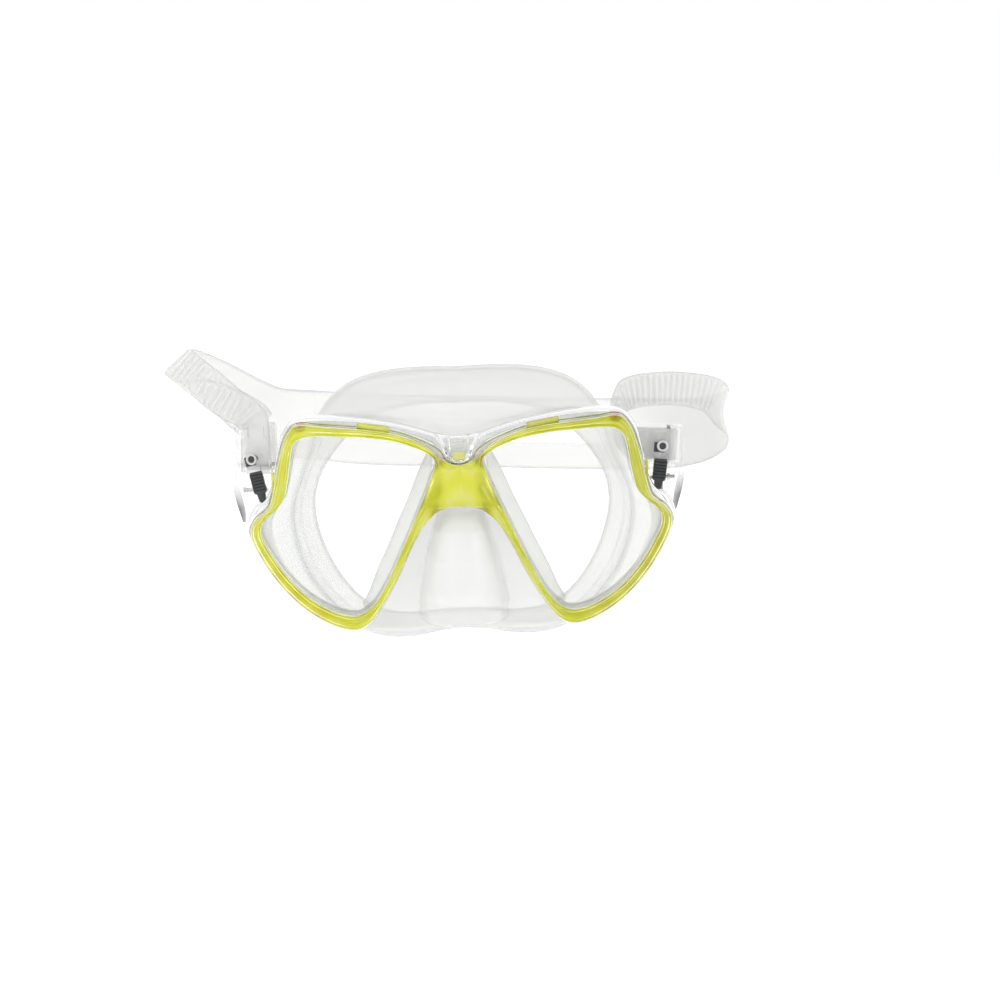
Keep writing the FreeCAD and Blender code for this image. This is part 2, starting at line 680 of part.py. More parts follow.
    # Strap end: a loop round the roller, with the loose tongue in front.
    reach = narrow / 2
    tube = Part.makeCylinder(3.6, narrow, vector(-reach, -1.4, -3), vector(1, 0, 0))
    tube = tube.cut(Part.makeCylinder(2.1, narrow, vector(-reach, -1.4, -3), vector(1, 0, 0)))
    tube = tube.common(Part.makeBox(20, 20, 10, vector(-10, -11, -13)))
    layer = Part.makeBox(narrow, size["strap_thick"], 15.6, vector(-reach, -5, -3))
    run = Part.makeBox(narrow, size["strap_thick"], 15.8, vector(-reach, 0.7, -3))
    tail = tube.fuse([layer, run])
    tail.Placement = buckle_place
    tongue = RIGHT_TONGUE if sign < 0 else LEFT_TONGUE
    start = buckle_place.multVec(vector(0, -4.25, 12.6))
    across = buckle_place.Rotation.multVec(vector(1, 0, 0))
    outward = buckle_place.Rotation.multVec(vector(0, -1, 0))
    stations = [(start, across, outward, narrow)]
    last = start
    for (x, z), width in tongue:
        here = vector(x, start.y - 0.14 * (vector(x, 0, z) - vector(start.x, 0, start.z)).Length, z)
        step = here - last
        side_way = vector(step.z, 0, -step.x)
        stations.append((here, side_way, outward, width))
        last = here
    tail = tail.fuse(ribbon(stations))
    feature(side + "_strap_tail", tail)

    out = buckle_place.multVec(vector(0, 1.45, 13.2))
    facing = outward if sign < 0 else outward * -1
    bend = ribbon([(out, across, facing, narrow)] + bend_path)
    feature(side + "_strap_bend", bend)

doc.recompute()

# ---------------------------------------------------------------- checks and files
for item in doc.Objects:
    if "Invalid" in item.State or "Error" in item.State:
        raise RuntimeError("bad feature: " + item.Name)
os.makedirs("parts", exist_ok=True)
for item in parts:
    shape = item.Shape
    if shape.isNull() or not shape.isValid() or not shape.Solids:
        print("BAD", item.Label, shape.isNull(), shape.isValid(), len(shape.Solids))
    print("%-20s %d solid %9.1f mm3" % (item.Label, len(shape.Solids), shape.Volume))
    shape.exportStep("parts/%s.step" % item.Label)
print(len(parts), "parts")
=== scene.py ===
import math

import bpy
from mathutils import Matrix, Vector


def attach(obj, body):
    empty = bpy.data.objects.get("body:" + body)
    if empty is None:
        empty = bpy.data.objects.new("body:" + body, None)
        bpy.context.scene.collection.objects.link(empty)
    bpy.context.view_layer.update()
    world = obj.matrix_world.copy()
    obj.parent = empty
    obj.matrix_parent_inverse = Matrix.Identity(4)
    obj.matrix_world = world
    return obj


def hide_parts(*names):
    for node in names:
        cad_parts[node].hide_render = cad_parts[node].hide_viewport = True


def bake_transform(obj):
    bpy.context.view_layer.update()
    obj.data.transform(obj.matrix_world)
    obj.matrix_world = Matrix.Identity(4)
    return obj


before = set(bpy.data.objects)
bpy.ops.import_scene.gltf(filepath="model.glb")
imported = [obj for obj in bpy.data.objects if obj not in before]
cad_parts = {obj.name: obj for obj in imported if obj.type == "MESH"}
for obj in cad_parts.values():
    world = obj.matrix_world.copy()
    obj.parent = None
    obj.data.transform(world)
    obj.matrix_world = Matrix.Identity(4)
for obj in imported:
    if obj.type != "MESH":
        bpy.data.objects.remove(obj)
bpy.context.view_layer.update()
scene = bpy.context.scene
MM = 0.001


# ---------------------------------------------------------------- curves and grids
def smooth(points, count, closed=False):
    """Even samples of a smooth curve through points of any dimension."""
    size = len(points[0])
    total = len(points)
    fine = 16
    dense = []
    spans = total if closed else total - 1
    for span in range(spans):
        ends = []
        for offset in (-1, 0, 1, 2):
            index = span + offset
            if closed:
                index %= total
            else:
                index = min(max(index, 0), total - 1)
            ends.append(points[index])
        a, b, c, d = ends
        for step in range(fine):
            u = step / fine
            dense.append([
                0.5 * (2 * b[k] + (c[k] - a[k]) * u + (2 * a[k] - 5 * b[k] + 4 * c[k] - d[k]) * u * u
                       + (3 * b[k] - a[k] - 3 * c[k] + d[k]) * u ** 3)
                for k in range(size)
            ])
    dense.append(list(points[0] if closed else points[-1]))
    lengths = [0.0]
    for p, q in zip(dense, dense[1:]):
        lengths.append(lengths[-1] + math.dist(p, q))
    result = []
    place = 0
    last = count if closed else count - 1
    for step in range(count):
        want = lengths[-1] * step / last
        while place < len(lengths) - 2 and lengths[place + 1] < want:
            place += 1
        span = lengths[place + 1] - lengths[place]
        u = (want - lengths[place]) / span if span else 0
        p, q = dense[place], dense[place + 1]
        result.append([p[k] + (q[k] - p[k]) * u for k in range(size)])
    return result


def grid_faces(columns, rows, base=0, closed=False, tube=False):
    """Quads of a grid of points that is listed column by column, from point number base.

    closed joins the last column to the first, tube the last row to the first.
    """
    faces = []
    for index in range(columns if closed else columns - 1):
        here = base + index * rows
        beside = base + (index + 1) % columns * rows
        for row in range(rows if tube else rows - 1):
            above = (row + 1) % rows
            faces.append((here + row, here + above, beside + above, beside + row))
    return faces


def flatten(columns):
    return [point for column in columns for point in column]


def mesh_piece(name, vertices, faces, body, material, node=None, shade=True):
    """A new mesh object in millimetre coordinates that rides on one body."""
    mesh = bpy.data.meshes.new(name)
    mesh.from_pydata([[c * MM for c in v] for v in vertices], [], faces)
    mesh.validate()
    mesh.update()
    for polygon in mesh.polygons:
        polygon.use_smooth = shade
    piece = bpy.data.objects.new(name, mesh)
    scene.collection.objects.link(piece)
    mesh.materials.append(material)
    if body:
        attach(piece, body)
    if node:
        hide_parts(node)
    return piece


def mark(piece, name, values):
    """Stores one number per vertex, for the piece's material to read."""
    layer = piece.data.attributes.new(name, "FLOAT", "POINT")
    for index, value in enumerate(values):
        layer.data[index].value = value


def subdivide(piece, levels=1):
    modifier = piece.modifiers.new("smooth", "SUBSURF")
    modifier.levels = levels
    modifier.render_levels = levels


def mirror(piece):
    modifier = piece.modifiers.new("mirror", "MIRROR")
    modifier.use_clip = True
    modifier.merge_threshold = 0.0002


def thicken(piece, thickness):
    modifier = piece.modifiers.new("thickness", "SOLIDIFY")
    modifier.thickness = thickness * MM
    modifier.offset = 0


def soften(piece, width, segments=2, angle=35):
    modifier = piece.modifiers.new("soft edges", "BEVEL")
    modifier.width = width * MM
    modifier.segments = segments
    modifier.limit_method = "ANGLE"
    modifier.angle_limit = math.radians(angle)


def block(name, spans, body, material, place=None, soft=0.3, turn=0.0):
    """A box with softened edges; place maps its own frame to the mask's, turn is about Y."""
    lean = math.radians(turn)
    corners = []
    for x in spans[0]:
        for y in spans[1]:
            for z in spans[2]:
                tilted = (x * math.cos(lean) + z * math.sin(lean), y,
                          -x * math.sin(lean) + z * math.cos(lean))
                corners.append(place(*tilted) if place else tilted)
    faces = [(0, 1, 3, 2), (4, 6, 7, 5), (0, 4, 5, 1), (2, 3, 7, 6), (0, 2, 6, 4), (1, 5, 7, 3)]
    piece = mesh_piece(name, corners, faces, body, material, shade=False)
    soften(piece, soft)
    return piece


# ---------------------------------------------------------------- outlines, mm
LENS_OPENING = [
    (9.1, 14.6), (10.8, 17.8), (16, 20.6), (24, 23.2), (34, 24.8), (44, 25.4), (52, 25.8),
    (58, 25.2), (61.4, 22.8), (62.9, 17), (64, 10), (65.8, 2.6), (69.4, -2), (73.4, -5.4),
    (75.1, -9.4), (73.6, -14.6), (67, -25.3), (59, -33.9), (50, -39.6), (42, -41.9),
    (36.6, -40.2), (31, -34), (24.2, -21), (17.4, -6), (12.2, 5.8),
]
FRONT_HALF = [
    (0, 13.9), (3.6, 14.8), (8, 18.2), (14, 22.6), (23, 26.3), (34, 28.2), (45, 29.2),
    (53, 30), (58, 30.6), (62, 29.4), (65.4, 24), (68, 15), (69.9, 6.4), (72.2, -1),
    (77, -4.9), (79.4, -10.2), (77.2, -17.4), (70, -29), (61, -38.5), (51, -45), (42, -47.7),
    (36, -45.6), (30, -38.2), (24, -28), (18.3, -16.3), (13.4, -8.3), (8, -3.4), (3.4, -1.8),
    (0, -1.6),
]
RIM_HALF = [
    (0, 14.3), (3.6, 16.6), (5.8, 21.4), (8.6, 25.2), (14, 27.2), (24, 29.9), (36, 31.8),
    (48, 33), (57, 33), (62.6, 31.4), (66.4, 26), (69, 17), (70.8, 7.4), (73.6, 1.6),
    (78.4, -1.4), (80.8, -7.6), (79, -15.6), (72, -27.8), (62.6, -37.9), (52, -45.4),
    (42, -48.6), (35.6, -46.2), (29.6, -38.4), (23.7, -28.2), (18, -16.5), (13.1, -8.5),
    (7.8, -3.6), (3.3, -2), (0, -1.8),
]
BACK_HALF = [(0, 24.2), (5, 24.6), (9, 25.6)] + RIM_HALF[4:]
SKIRT_FRONT = [
    (0, 27.5), (14, 29), (28, 31.5), (42, 32.6), (52, 31.6), (58, 27.6), (62.4, 18), (64.6, 8),
    (69, -1), (72.2, -8), (71.4, -17), (65, -30), (55, -41), (43, -47.5), (32, -49.5),
    (20, -49.5), (9, -49), (0, -48.8),
]
SKIRT_MIDDLE = [
    (0, 46.6), (14, 46.8), (28, 45.6), (40, 42), (49, 35.4), (54.8, 26), (58.4, 14.6),
    (62.6, 4), (66.2, -7), (66, -19), (61, -33.5), (52, -44.5), (42, -52.5), (32, -56),
    (20, -56), (9, -53.8), (0, -53),
]
FEATHER_EDGE = [
    (0, 33.6), (14, 33.4), (28, 30.8), (39, 25), (48, 16), (55, 5), (57.4, -6), (55.4, -18),
    (49.6, -30.6), (41, -41), (31, -46.4), (20, -47.4), (9, -46.4), (0, -46),
]
# Middle of the wearer's left lens; every section runs out from it.
CENTRE = (42.0, -2.0)

# Depths at the middle of the mask, mm; the frame sweeps back from them on both sides.
YELLOW_FACE = -59.0
YELLOW_BACK = -53.2
FRAME_JOINT = -52.7
FRAME_BACK = -45.0
SHEET_FRONT = -43.9
# Depth and height of both rivets, where arm and housing meet.
RIVET_DEPTH = -24.5
RIVET_HEIGHT = 15.5


def wrap(x):
    """How far the wrapped frame has swept back at this distance from the middle."""
    radius = 400.0
    return x * x / (2 * radius)


def lens_front(x):
    """Depth of a lens's front face, which is flat and turned a little outwards."""
    return -50.6 + (abs(x) - 42.0) * 0.105


def face_depth(x):
    """The depth of the wearer's face across the mask, an arc about a point inside the head."""
    radius = 116.0
    centre = 94.0
    return centre - math.sqrt(radius ** 2 - min(abs(x), 110.0) ** 2)


def boundary(half, outer, inner):
    """Points round a half outline, then up the middle plane, marked as outer or middle."""
    marks = [(tuple(p), True) for p in smooth(half, outer)]
    low = half[-1][1]
    high = half[0][1]
    for step in range(1, inner):
        marks.append(((0.0, low + (high - low) * step / inner), False))
    return marks


def crossing(outline, target):
    """How far along the line from the lens centre to a target it meets an outline."""
    dx = target[0] - CENTRE[0]
    dz = target[1] - CENTRE[1]
    best = None
    for (ax, az), (bx, bz) in zip(outline, outline[1:]):
        ex = bx - ax
        ez = bz - az
        determinant = ex * dz - dx * ez
        if abs(determinant) < 1e-9:
            continue
        qx = ax - CENTRE[0]
        qz = az - CENTRE[1]
        along = (ex * qz - qx * ez) / determinant
        across = (dx * qz - qx * dz) / determinant
        if along > 0.05 and -1e-6 <= across <= 1 + 1e-6:
            if best is None or along < best:
                best = along
    return best


def closed_curve(points, count=400):
    ring = smooth(points, count, closed=True)
    return ring + ring[:1]


LENS_CURVE = closed_curve(LENS_OPENING)
FRONT_CURVE = smooth(FRONT_HALF, 300)
RIM_CURVE = smooth(RIM_HALF, 300)


def at(target, fraction):
    """A point on the line from the lens centre to a target."""
    return (
        CENTRE[0] + (target[0] - CENTRE[0]) * fraction,
        CENTRE[1] + (target[1] - CENTRE[1]) * fraction,
    )


# ---------------------------------------------------------------- materials
def principled(name):
    material = bpy.data.materials.new(name)
    material.use_nodes = True
    tree = material.node_tree
    return material, tree, tree.nodes["Principled BSDF"]


def noise_bump(tree, shader, scale, strength, distance=0.0002):
    """A fine moulded texture under the gloss."""
    place = tree.nodes.new("ShaderNodeTexCoord")
    noise = tree.nodes.new("ShaderNodeTexNoise")
    noise.inputs["Scale"].default_value = scale
    noise.inputs["Detail"].default_value = 4
    bump = tree.nodes.new("ShaderNodeBump")
    bump.inputs["Strength"].default_value = strength
    bump.inputs["Distance"].default_value = distance
    tree.links.new(place.outputs["Object"], noise.inputs["Vector"])
    tree.links.new(noise.outputs["Fac"], bump.inputs["Height"])
    tree.links.new(bump.outputs["Normal"], shader.inputs["Normal"])
    return noise


def two_tone(tree, shader, noise, dark, light, socket="Base Color"):
    ramp = tree.nodes.new("ShaderNodeValToRGB")
    ramp.color_ramp.elements[0].position = 0.35
    ramp.color_ramp.elements[0].color = dark
    ramp.color_ramp.elements[1].position = 0.7
    ramp.color_ramp.elements[1].color = light
    tree.links.new(noise.outputs["Fac"], ramp.inputs["Fac"])
    tree.links.new(ramp.outputs["Color"], shader.inputs[socket])


def marked_colour(tree, shader, name, stops, noise, share=0.12, socket="Base Color"):
    """Colours a surface by a number stored on its vertices, broken up a little by noise."""
    layer = tree.nodes.new("ShaderNodeAttribute")
    layer.attribute_name = name
    spread = tree.nodes.new("ShaderNodeMath")
    spread.operation = "MULTIPLY_ADD"
    spread.inputs[1].default_value = share
    tree.links.new(noise.outputs["Fac"], spread.inputs[0])
    tree.links.new(layer.outputs["Fac"], spread.inputs[2])
    ramp = tree.nodes.new("ShaderNodeValToRGB")
    elements = ramp.color_ramp.elements
    elements[0].position = stops[0][0] + share / 2
    elements[0].color = stops[0][1]
    elements[1].position = min(1, stops[-1][0] + share / 2)
    elements[1].color = stops[-1][1]
    for position, colour in stops[1:-1]:
        element = elements.new(position + share / 2)
        element.color = colour
    tree.links.new(spread.outputs["Value"], ramp.inputs["Fac"])
    tree.links.new(ramp.outputs["Color"], shader.inputs[socket])


def clear_plastic(name, tint, roughness=0.04, ior=1.45, alpha=1.0, transmission=1.0):
    material, tree, shader = principled(name)
    shader.inputs["Roughness"].default_value = roughness
    shader.inputs["IOR"].default_value = ior
    shader.inputs["Transmission Weight"].default_value = transmission
    shader.inputs["Alpha"].default_value = alpha
    noise = noise_bump(tree, shader, 220, 0.04)
    two_tone(tree, shader, noise, tint, [min(1, c * 1.03) for c in tint[:3]] + [1])
    return material


def paint_side_shade(tree, shader, socket, darkest):
    """Painted shade: darkens a colour towards the wearer's left end of the mask, away from the key
    lamp.
    """
    place = tree.nodes.new("ShaderNodeTexCoord")
    parts = tree.nodes.new("ShaderNodeSeparateXYZ")
    ramp = tree.nodes.new("ShaderNodeMapRange")
    ramp.inputs["From Min"].default_value = -0.01
    ramp.inputs["From Max"].default_value = 0.07
    ramp.inputs["To Min"].default_value = 1.0
    ramp.inputs["To Max"].default_value = darkest
    scale = tree.nodes.new("ShaderNodeVectorMath")
    scale.operation = "SCALE"
    colour = shader.inputs[socket].links[0].from_socket
    tree.links.new(place.outputs["Object"], parts.inputs["Vector"])
    tree.links.new(parts.outputs["X"], ramp.inputs["Value"])
    tree.links.new(colour, scale.inputs[0])
    tree.links.new(ramp.outputs["Result"], scale.inputs["Scale"])
    tree.links.new(scale.outputs["Vector"], shader.inputs[socket])


def yellow_plastic():
    material, tree, shader = principled("yellow_plastic")
    shader.inputs["Roughness"].default_value = 0.09
    shader.inputs["IOR"].default_value = 1.45
    shader.inputs["Transmission Weight"].default_value = 0.45
    shader.inputs["Coat Weight"].default_value = 0.4
    shader.inputs["Coat Roughness"].default_value = 0.03
    noise = noise_bump(tree, shader, 130, 0.10)
    # The pale stops carry painted highlights and the olive stop painted shade along the edges; amber
    # is the plastic's own.
    marked_colour(tree, shader, "tone", [
        (0.0, (0.50, 0.24, 0.002, 1)),
        (0.16, (0.62, 0.55, 0.004, 1)),
        (0.3, (0.43, 0.50, 0.010, 1)),
        (0.5, (0.78, 0.79, 0.018, 1)),
        (0.7, (0.90, 0.91, 0.05, 1)),
        (0.9, (0.95, 0.95, 0.30, 1)),
    ], noise, 0.08)
    paint_side_shade(tree, shader, "Base Color", 0.82)
    return material


def stored_density(tree, shader, name, low, high, start=0.0):
    """Makes a surface denser from low to high as a number stored on its vertices goes up to 1."""
    layer = tree.nodes.new("ShaderNodeAttribute")
    layer.attribute_name = name
    density = tree.nodes.new("ShaderNodeMapRange")
    density.inputs["From Min"].default_value = start
    density.inputs["To Min"].default_value = low
    density.inputs["To Max"].default_value = high
    tree.links.new(layer.outputs["Fac"], density.inputs["Value"])
    tree.links.new(density.outputs["Result"], shader.inputs["Alpha"])


# How far below 0 the "edge" value may go, and how much the density changes for each 1 of it.
THIN = 0.6
EDGE_DENSITY = 0.35


def silicone(name, colour, edge_and_shade_colour, alpha, roughness=0.28):
    """Clear-white rubber; thick edges, stored on the vertices, look greyer and denser.

    The same stored number also carries painted shade: on the nose pocket, in the strap's rib
    valleys and on the wearer's left strap.
    """
    material, tree, shader = principled(name)
    shader.inputs["Roughness"].default_value = roughness
    shader.inputs["Subsurface Weight"].default_value = 0.25
    shader.inputs["Subsurface Radius"].default_value = (0.004, 0.004, 0.0035)
    noise = noise_bump(tree, shader, 160, 0.004)
    marked_colour(tree, shader, "edge", [(0.0, colour), (0.9, edge_and_shade_colour)], noise, 0.1)
    stored_density(tree, shader, "edge", alpha - EDGE_DENSITY * THIN, alpha + EDGE_DENSITY, -THIN)
    return material


def dark_plastic():
    material, tree, shader = principled("grey_plastic")
    shader.inputs["Roughness"].default_value = 0.42
    noise = noise_bump(tree, shader, 900, 0.15, 0.0001)
    two_tone(tree, shader, noise, (0.035, 0.037, 0.04, 1), (0.06, 0.063, 0.068, 1))
    return material


def steel():
    material, tree, shader = principled("steel")
    shader.inputs["Metallic"].default_value = 1
    shader.inputs["Roughness"].default_value = 0.3
    noise = noise_bump(tree, shader, 1200, 0.1, 0.00005)
    two_tone(tree, shader, noise, (0.5, 0.5, 0.5, 1), (0.7, 0.7, 0.69, 1))
    return material


def lens_glass():
    material, tree, shader = principled("lens_glass")
    shader.inputs["Roughness"].default_value = 0.01
    shader.inputs["IOR"].default_value = 1.2
    shader.inputs["Alpha"].default_value = 0.06
    noise = noise_bump(tree, shader, 30, 0.01)
    two_tone(tree, shader, noise, (0.93, 0.96, 0.95, 1), (0.96, 0.98, 0.97, 1))
    return material


def smoked_plastic():
    """Clear plastic that darkens towards its lower tip, where it is thickest."""
    material, tree, shader = principled("smoked_tip")
    shader.inputs["Roughness"].default_value = 0.08
    shader.inputs["IOR"].default_value = 1.4
    noise = noise_bump(tree, shader, 300, 0.05)
    marked_colour(tree, shader, "tone", [
        (0.0, (0.86, 0.87, 0.89, 1)),
        (0.9, (0.16, 0.165, 0.19, 1)),
    ], noise, 0.25)
    stored_density(tree, shader, "tone", 0.2, 0.75)
    return material


SMOKED = smoked_plastic()
CLEAR = clear_plastic("clear_frame", (0.975, 0.98, 0.98, 1))
CLEAR_SMALL = clear_plastic("clear_buckle", (0.985, 0.987, 0.99, 1), 0.05, 1.3, 0.32)
YELLOW = yellow_plastic()
SKIRT = silicone("skirt_silicone", (0.88, 0.885, 0.87, 1), (0.60, 0.61, 0.61, 1), 0.36)
STRAP = silicone("strap_silicone", (0.90, 0.90, 0.885, 1), (0.66, 0.66, 0.65, 1), 0.30, 0.35)
GREY = dark_plastic()
STEEL = steel()
GLASS = lens_glass()
RING = clear_plastic("rivet_ring", (0.86, 0.87, 0.87, 1), 0.2, transmission=0.2)


def paint(node, material):
    """Gives a CAD node that stays visible its own material."""
    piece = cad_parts[node]
    piece.data.materials.clear()
    piece.data.materials.append(material)


for side in ("left", "right"):
    paint(side + "_lens", GLASS)
    for name in ("_arm", "_housing", "_roller"):
        paint(side + name, CLEAR_SMALL)
    paint(side + "_rivet", GREY)
    for name in ("_hinge_pin", "_latch_pin", "_latch_spring", "_roller_pin"):
        paint(side + name, STEEL)


# ---------------------------------------------------------------- front frame
def shell_faces(columns, marks):
    """Joins closed sections of equal length; the strip on the middle plane is left out."""
    tall = len(columns[0])
    seam = tall - 2
    faces = []
    for index in range(len(columns)):
        following = (index + 1) % len(columns)
        middle = not (marks[index][1] and marks[following][1])
        for row in range(tall):
            if middle and row == seam:
                continue
            above = (row + 1) % tall
            faces.append((
                index * tall + row, index * tall + above,
                following * tall + above, following * tall + row,
            ))
    return faces


def facet(x, z):
    """How deep the moulded facets beside the bridge are cut."""
    low = -26
    high = 12
    if not low < z < high:
        return 0.0
    centre_x = 9.6 + max(0.0, 6 - z) * 0.55
    width = 2.4 if z > 2 else 2.0
    across = max(0.0, 1 - abs(x - centre_x) / width)
    fade = min(1.0, (high - z) / 5, (z - low) / 10)
    return 1.1 * across * fade


def near(x, z, centre, reach):
    """1 at a centre, falling to 0 at a distance."""
    return max(0.0, 1 - math.dist((x, z), centre) / reach)


# Places where the yellow turns amber: centre, reach and strength.
AMBER_SPOTS = [
    ((58.6, 29.4), 2.6, 0.62),
    ((8.4, 15.6), 4.4, 0.5),
    ((9.0, -3.4), 4.2, 0.42),
]


def yellow_tone_and_painted_light(x, z, share, outer):
    """Tones of the moulding, with painted light: 0 is amber, 0.3 olive, 0.6 yellow, 0.9 pale.

    The gentle wave and the amber spots are the plastic's own tones. The darker inner and outer
    edges and the darker flank beside the bridge are painted shade; the paler band along the
    crown, the bridge's middle panel and the gleam are painted highlights. It also darkens
    towards the lower outer part of each lens frame.
    """
    tone = 0.6 + 0.08 * math.sin(0.35 * x + 0.5 * z)
    # Painted shade along the inner edge.
    tone -= 0.30 * max(0.0, 1 - share / 0.14)
    if outer:
        # Painted shade along the outer edge.
        tone -= 0.34 * max(0.0, (share - 0.82) / 0.18)
        # Painted highlight along the crown of the band.
        tone += 0.14 * max(0.0, 1 - abs(share - 0.45) / 0.2)
    lower = max(0.0, min(1.0, (-8 - z) / 14)) * max(0.0, min(1.0, (x - 44) / 8))
    tone -= lower * (0.04 + 0.2 * max(0.0, (share - 0.55) / 0.45))
    # Painted light on the bridge: a paler middle panel and a gleam line are painted highlights, the
    # darker flank between them is painted shade.
    if x < 16 and -14 < z < 16:
        panel = max(0.0, min(1.0, (6.4 - x) / 1.2))
        tone += 0.14 * panel
        flank = max(0.0, 1 - abs(x - 7.6 - 0.25 * max(0.0, 4 - z)) / 1.5)
        tone -= 0.10 * flank * min(1.0, (16 - z) / 5)
        gleam = max(0.0, 1 - abs(x - 10.4 - 0.3 * max(0.0, 4 - z)) / 1.2)
        tone += 0.16 * gleam
    for centre, reach, strength in AMBER_SPOTS:
        tone -= strength * near(x, z, centre, reach)
    return min(0.95, max(0.0, tone))


def yellow_section(target, outer):
    """One section of the yellow frame, from the lens opening outwards, with its tones."""
    inner = at(target, crossing(LENS_CURVE, target))
    width = math.dist(inner, target)
    bevel = min(0.8, width * 0.2)
    start = bevel * 1.6
    end = width - bevel if outer else width

    def across(distance):
        fraction = distance / width
        x = inner[0] + (target[0] - inner[0]) * fraction
        z = inner[1] + (target[1] - inner[1]) * fraction
        return x, z

    profile = [
        (0, YELLOW_BACK),
        (0, YELLOW_FACE + 0.4),
        (bevel * 0.35, YELLOW_FACE - 0.5),
        (bevel, YELLOW_FACE - 0.9),
        (start, YELLOW_FACE - 0.4),
    ]
    for share in (0.1, 0.19, 0.28, 0.37, 0.46, 0.55, 0.64, 0.73, 0.82, 0.91):
        distance = start + (end - start) * share
        crown = 0.9 * math.sin(math.pi * share)
        profile.append((distance, YELLOW_FACE - crown + facet(*across(distance))))
    profile.append((end, YELLOW_FACE - (0.5 if outer else 0.6)))
    profile.append((width, YELLOW_FACE + (0.2 if outer else -0.6)))
    profile.append((width, YELLOW_BACK))
    column = []
    shades = []
    for distance, depth in profile:
        x, z = across(distance)
        column.append((x, wrap(x) + depth, z))
        shades.append(yellow_tone_and_painted_light(x, z, distance / width, outer))
    return column, shades


marks = boundary(FRONT_HALF, 240, 40)
columns = []
tones = []
for target, outer in marks:
    column, shades = yellow_section(target, outer)
    columns.append(column)
    tones.extend(shades)
front = mesh_piece("front_frame_yellow", flatten(columns), shell_faces(columns, marks), "mask",
                   YELLOW, "front_frame")
mark(front, "tone", tones)
mirror(front)
subdivide(front)

# ---------------------------------------------------------------- clear main frame
def clear_section(target):
    """One section of the clear frame, from the lens seat, under the yellow, to the rim."""
    length = math.dist(CENTRE, target)
    seat = min(crossing(LENS_CURVE, target) + 3.2 / length, 0.985)
    front_edge = min(crossing(FRONT_CURVE, target) or 1.0, 0.996)
    rim_edge = min(crossing(RIM_CURVE, target) or 1.0, 0.998)
    front_edge = max(front_edge + 0.12 / length, seat + 0.003)
    front_edge = min(front_edge, 0.997)
    rim_edge = max(rim_edge, front_edge + 0.001)
    band = (rim_edge - front_edge) * length
    rise = min(1.0, band / 1.2)
    round_off = min(0.35, band * 0.25) / length
    profile = [
        (seat, FRAME_BACK),
        (seat, FRAME_JOINT),
        (front_edge, FRAME_JOINT),
        (front_edge, FRAME_JOINT - 3.6 * rise),
        (front_edge + round_off, FRAME_JOINT - 4.2 * rise),
        ((front_edge + rim_edge) / 2, FRAME_JOINT - 4.5 * rise),
        (rim_edge - round_off * 1.4, FRAME_JOINT - 3.9 * rise),
        (rim_edge, FRAME_JOINT - 2.8 * rise),
        (rim_edge, FRAME_JOINT + 0.3),
        (1.0, FRAME_JOINT + 0.4),
        (1.0, FRAME_BACK - 0.4),
    ]
    column = []
    for fraction, depth in profile:
        x, z = at(target, fraction)
        column.append((x, wrap(x) + depth, z))
    return column


marks = boundary(BACK_HALF, 240, 34)
columns = [clear_section(target) for target, _ in marks]
clear = mesh_piece("main_frame_clear", flatten(columns), shell_faces(columns, marks), "mask",
                   CLEAR, "main_frame")
mirror(clear)
subdivide(clear)


def brow_tab(side, sign):
    """Snap tab of the yellow frame under the clear brow."""
    steps = 7
    vertices = []
    for step in range(steps):
        share = step / (steps - 1)
        x = 25.5 + 12 * share
        low = 26.55 + 1.9 * share
        for z, y in ((low, -56.9), (low + 0.7, -57.5), (low + 1.6, -57.4), (low + 2.1, -56.8)):
            vertices.append((sign * x, wrap(x) + y, z))
    tab = mesh_piece("brow_tab_" + side, vertices, grid_faces(steps, 4), "mask", YELLOW)
    # Painted highlight: the tab's front face is paler than its lower and upper edges.
    mark(tab, "tone", [0.62, 0.86, 0.86, 0.62] * steps)
    thicken(tab, 0.5)


def yellow_block(name, spans, tone, soft):
    """A small yellow block of one even tone."""
    piece = block(name, spans, "mask", YELLOW, soft=soft)
    mark(piece, "tone", [tone] * len(piece.data.vertices))


def notch_block(name, spans):
    """A clear rib or step in the notch over the bridge."""
    block(name, spans, "mask", CLEAR, soft=0.5)


for side, sign in (("left", 1), ("right", -1)):
    brow_tab(side, sign)
    notch_block("notch_rib_" + side, ((sign * 3.0, sign * 4.3), (-57.2, -53.4), (16.6, 25.0)))
    yellow_block("side_tab_" + side, ((sign * 69.6, sign * 70.7), (-50.2, -48.4), (4.2, 12.4)),
                 0.74, 0.3)
yellow_block("notch_tongue", ((-2.3, 2.3), (-57.0, -55.6), (15.4, 18.6)), 0.93, 0.5)
notch_block("notch_step", ((-2.5, 2.5), (-56.6, -54.0), (19.2, 22.4)))

# ---------------------------------------------------------------- skirt
# Nose pocket from the bridge down: height, depth and half width.
NOSE = [
    (-1.5, 0, 5.5), (-5, 9, 8.2), (-12, 17, 10.7), (-22, 21, 13), (-34, 23, 15),
    (-41, 22.6, 15.7), (-45, 18, 15.2), (-47.6, 8, 12.4), (-48.6, 0, 8),
]


def nose_depth(x, z):
    """How far the nose pocket stands out of the skirt's front sheet."""
    if z >= NOSE[0][0] or z <= NOSE[-1][0]:
        return 0.0
    for (za, da, wa), (zb, db, wb) in zip(NOSE, NOSE[1:]):
        if zb <= z <= za:
            u = (za - z) / (za - zb)
            deep = da + (db - da) * u
            wide = wa + (wb - wa) * u
            side = abs(x) / wide
            if side >= 1.15:
                return 0.0
            body = max(0.0, 1 - min(side, 1.0) ** 3.2) ** 0.62
            return deep * body
    return 0.0


